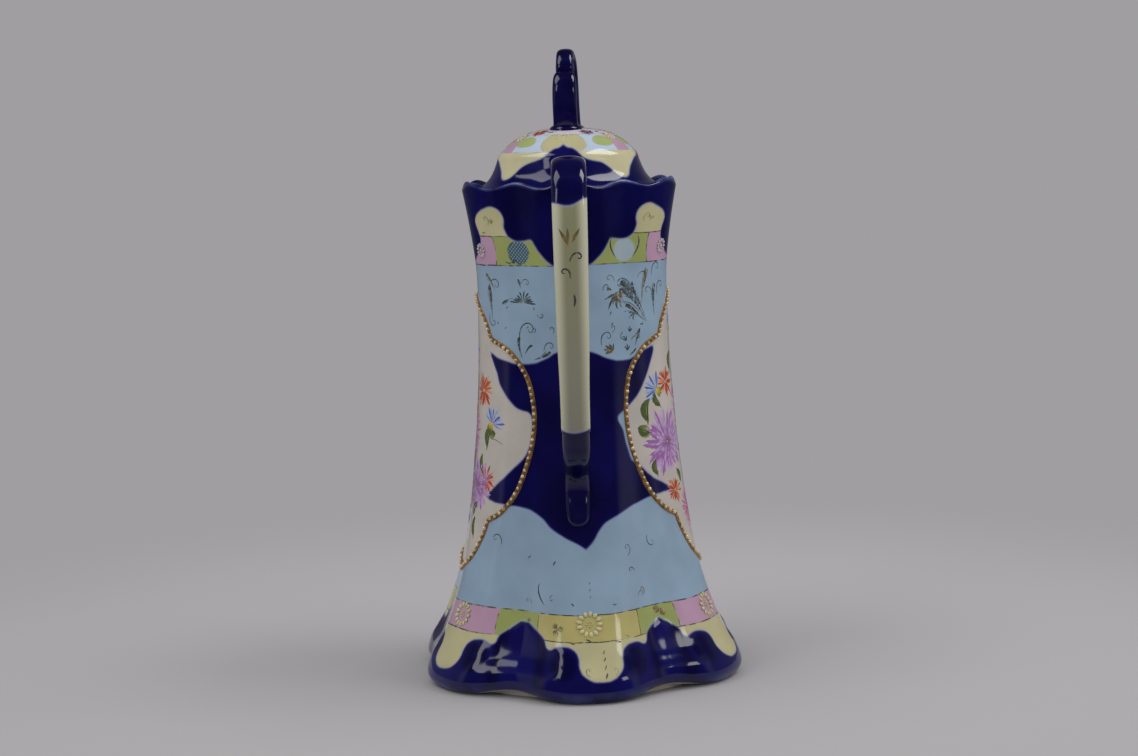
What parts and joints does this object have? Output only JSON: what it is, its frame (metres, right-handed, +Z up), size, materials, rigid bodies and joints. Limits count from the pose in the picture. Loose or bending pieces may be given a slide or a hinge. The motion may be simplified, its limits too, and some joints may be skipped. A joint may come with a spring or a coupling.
{
  "type": "chocolate pot",
  "caption": "Tall porcelain chocolate pot with a fluted, flared foot, a strap handle, a beak spout, painted bands and flower panels, and a lift-off domed lid with an open scroll finial.",
  "frame": {"origin": "on the pot's vertical axis, in the plane of the foot ring that rests on the table", "axes": "+Z up along the pot's axis, +Y towards the spout, -Y towards the handle, X across the pot"},
  "size_m": [0.1274, 0.1495, 0.2483],
  "materials": {
    "painted_glaze": "glossy glaze over painted cobalt, pale blue, cream, pink and green",
    "clear_glaze": "glossy clear glaze over white porcelain",
    "ivory_glaze": "glossy straw-cream glaze",
    "cobalt_glaze": "deep glossy cobalt glaze",
    "gilt_enamel": "raised enamel with worn gilding",
    "raised_enamel": "raised enamel, glossy",
    "biscuit": "unglazed porcelain, matt"
  },
  "bodies": {
    "pot": {"body_wall": "painted_glaze", "base_floor": "clear_glaze", "foot_ring": "biscuit", "lid_seat": "clear_glaze", "spout_shell": "painted_glaze", "handle_strap": "ivory_glaze", "handle_tail": "cobalt_glaze", "left_panel_border": "gilt_enamel", "right_panel_border": "gilt_enamel", "foot_rosettes": "raised_enamel", "neck_rosettes": "raised_enamel"},
    "lid": {"lid_dome": "painted_glaze", "lid_collar": "biscuit", "finial_base": "cobalt_glaze", "finial_loop": "cobalt_glaze", "lid_rosettes": "raised_enamel"}
  },
  "joints": [
    {"name": "lid_lift", "type": "slide", "parent": "pot", "child": "lid", "axis": [0, 0, 1], "range_m": [0, 0.06]}
  ]
}
